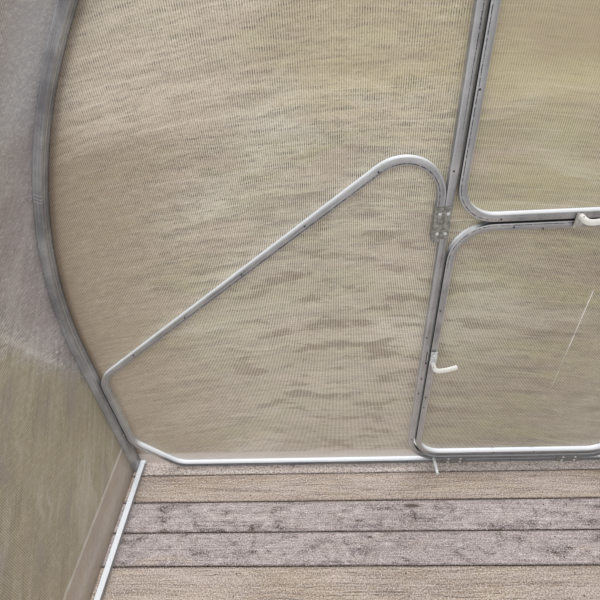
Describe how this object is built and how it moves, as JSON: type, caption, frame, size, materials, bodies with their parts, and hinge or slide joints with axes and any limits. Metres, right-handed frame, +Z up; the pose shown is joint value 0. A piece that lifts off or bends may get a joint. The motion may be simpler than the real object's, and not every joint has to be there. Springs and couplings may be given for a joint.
{
  "type": "polycarbonate greenhouse end section with stable door",
  "caption": "End section of an arched greenhouse: bent-tube end wall with a stable door, twin-wall sheets and a plank floor, open at the back to join the next section.",
  "frame": {"origin": "on the ground under the middle of the doorway, on the underside of the front bearer, in the plane of the end wall's inside face", "axes": "+Z up, +Y out through the end wall, +X to the right as seen from inside, towards the door's hinges"},
  "size_m": [3.19, 2.237, 2.2838],
  "materials": {
    "timber": "weathered softwood planks with a thin grey bloom",
    "twin_wall_sheet": "clear twin-wall sheet with fine ribs",
    "white_lever": "white moulded plastic",
    "bright_zinc": "bright zinc plate",
    "grey_zinc": "dull zinc plate",
    "galvanised_tube": "galvanised steel tube"
  },
  "bodies": {
    "section": {"base_bolts": "bright_zinc", "clamp_bolts": "bright_zinc", "clamp_plates": "grey_zinc", "corner_sheets": "twin_wall_sheet", "cover_sheet": "twin_wall_sheet", "door_frame": "galvanised_tube", "end_arch": "galvanised_tube", "floor_bearers": "timber", "floor_planks": "timber", "frame_stud": "bright_zinc", "front_bearer": "timber", "head_sheet": "twin_wall_sheet", "head_ties": "galvanised_tube", "joint_arch": "galvanised_tube", "left_base_rail": "galvanised_tube", "left_brace_loop": "galvanised_tube", "left_purlin": "galvanised_tube", "left_wall_sheet": "twin_wall_sheet", "middle_arch": "galvanised_tube", "post_hinges": "grey_zinc", "ridge_purlin": "galvanised_tube", "right_base_rail": "galvanised_tube", "right_brace_loop": "galvanised_tube", "right_purlin": "galvanised_tube", "right_wall_sheet": "twin_wall_sheet", "sill_plank": "timber", "upper_leaf_frame": "galvanised_tube", "upper_leaf_hinges": "grey_zinc", "upper_leaf_sheet": "twin_wall_sheet"},
    "lower_leaf": {"lower_leaf_frame": "galvanised_tube", "lower_leaf_hinges": "grey_zinc", "lower_leaf_sheet": "twin_wall_sheet"},
    "lower_latch": {"lower_inside_lever": "white_lever", "lower_latch_tongue": "grey_zinc", "lower_outside_lever": "white_lever"},
    "upper_latch": {"upper_inside_lever": "white_lever", "upper_latch_tongue": "grey_zinc", "upper_outside_lever": "white_lever"}
  },
  "joints": [
    {"name": "lower_leaf_swing", "type": "hinge", "parent": "section", "child": "lower_leaf", "pos_m": [0.382, 0.031, 0.685], "axis": [0, 0, -1], "range_deg": [0, 110]},
    {"name": "lower_latch_turn", "type": "hinge", "parent": "lower_leaf", "child": "lower_latch", "pos_m": [-0.369, 0, 0.708], "axis": [0, -1, 0], "range_deg": [0, 90]},
    {"name": "upper_latch_turn", "type": "hinge", "parent": "section", "child": "upper_latch", "pos_m": [-0.075, 0, 1.2075], "axis": [0, -1, 0], "range_deg": [0, 90]}
  ]
}
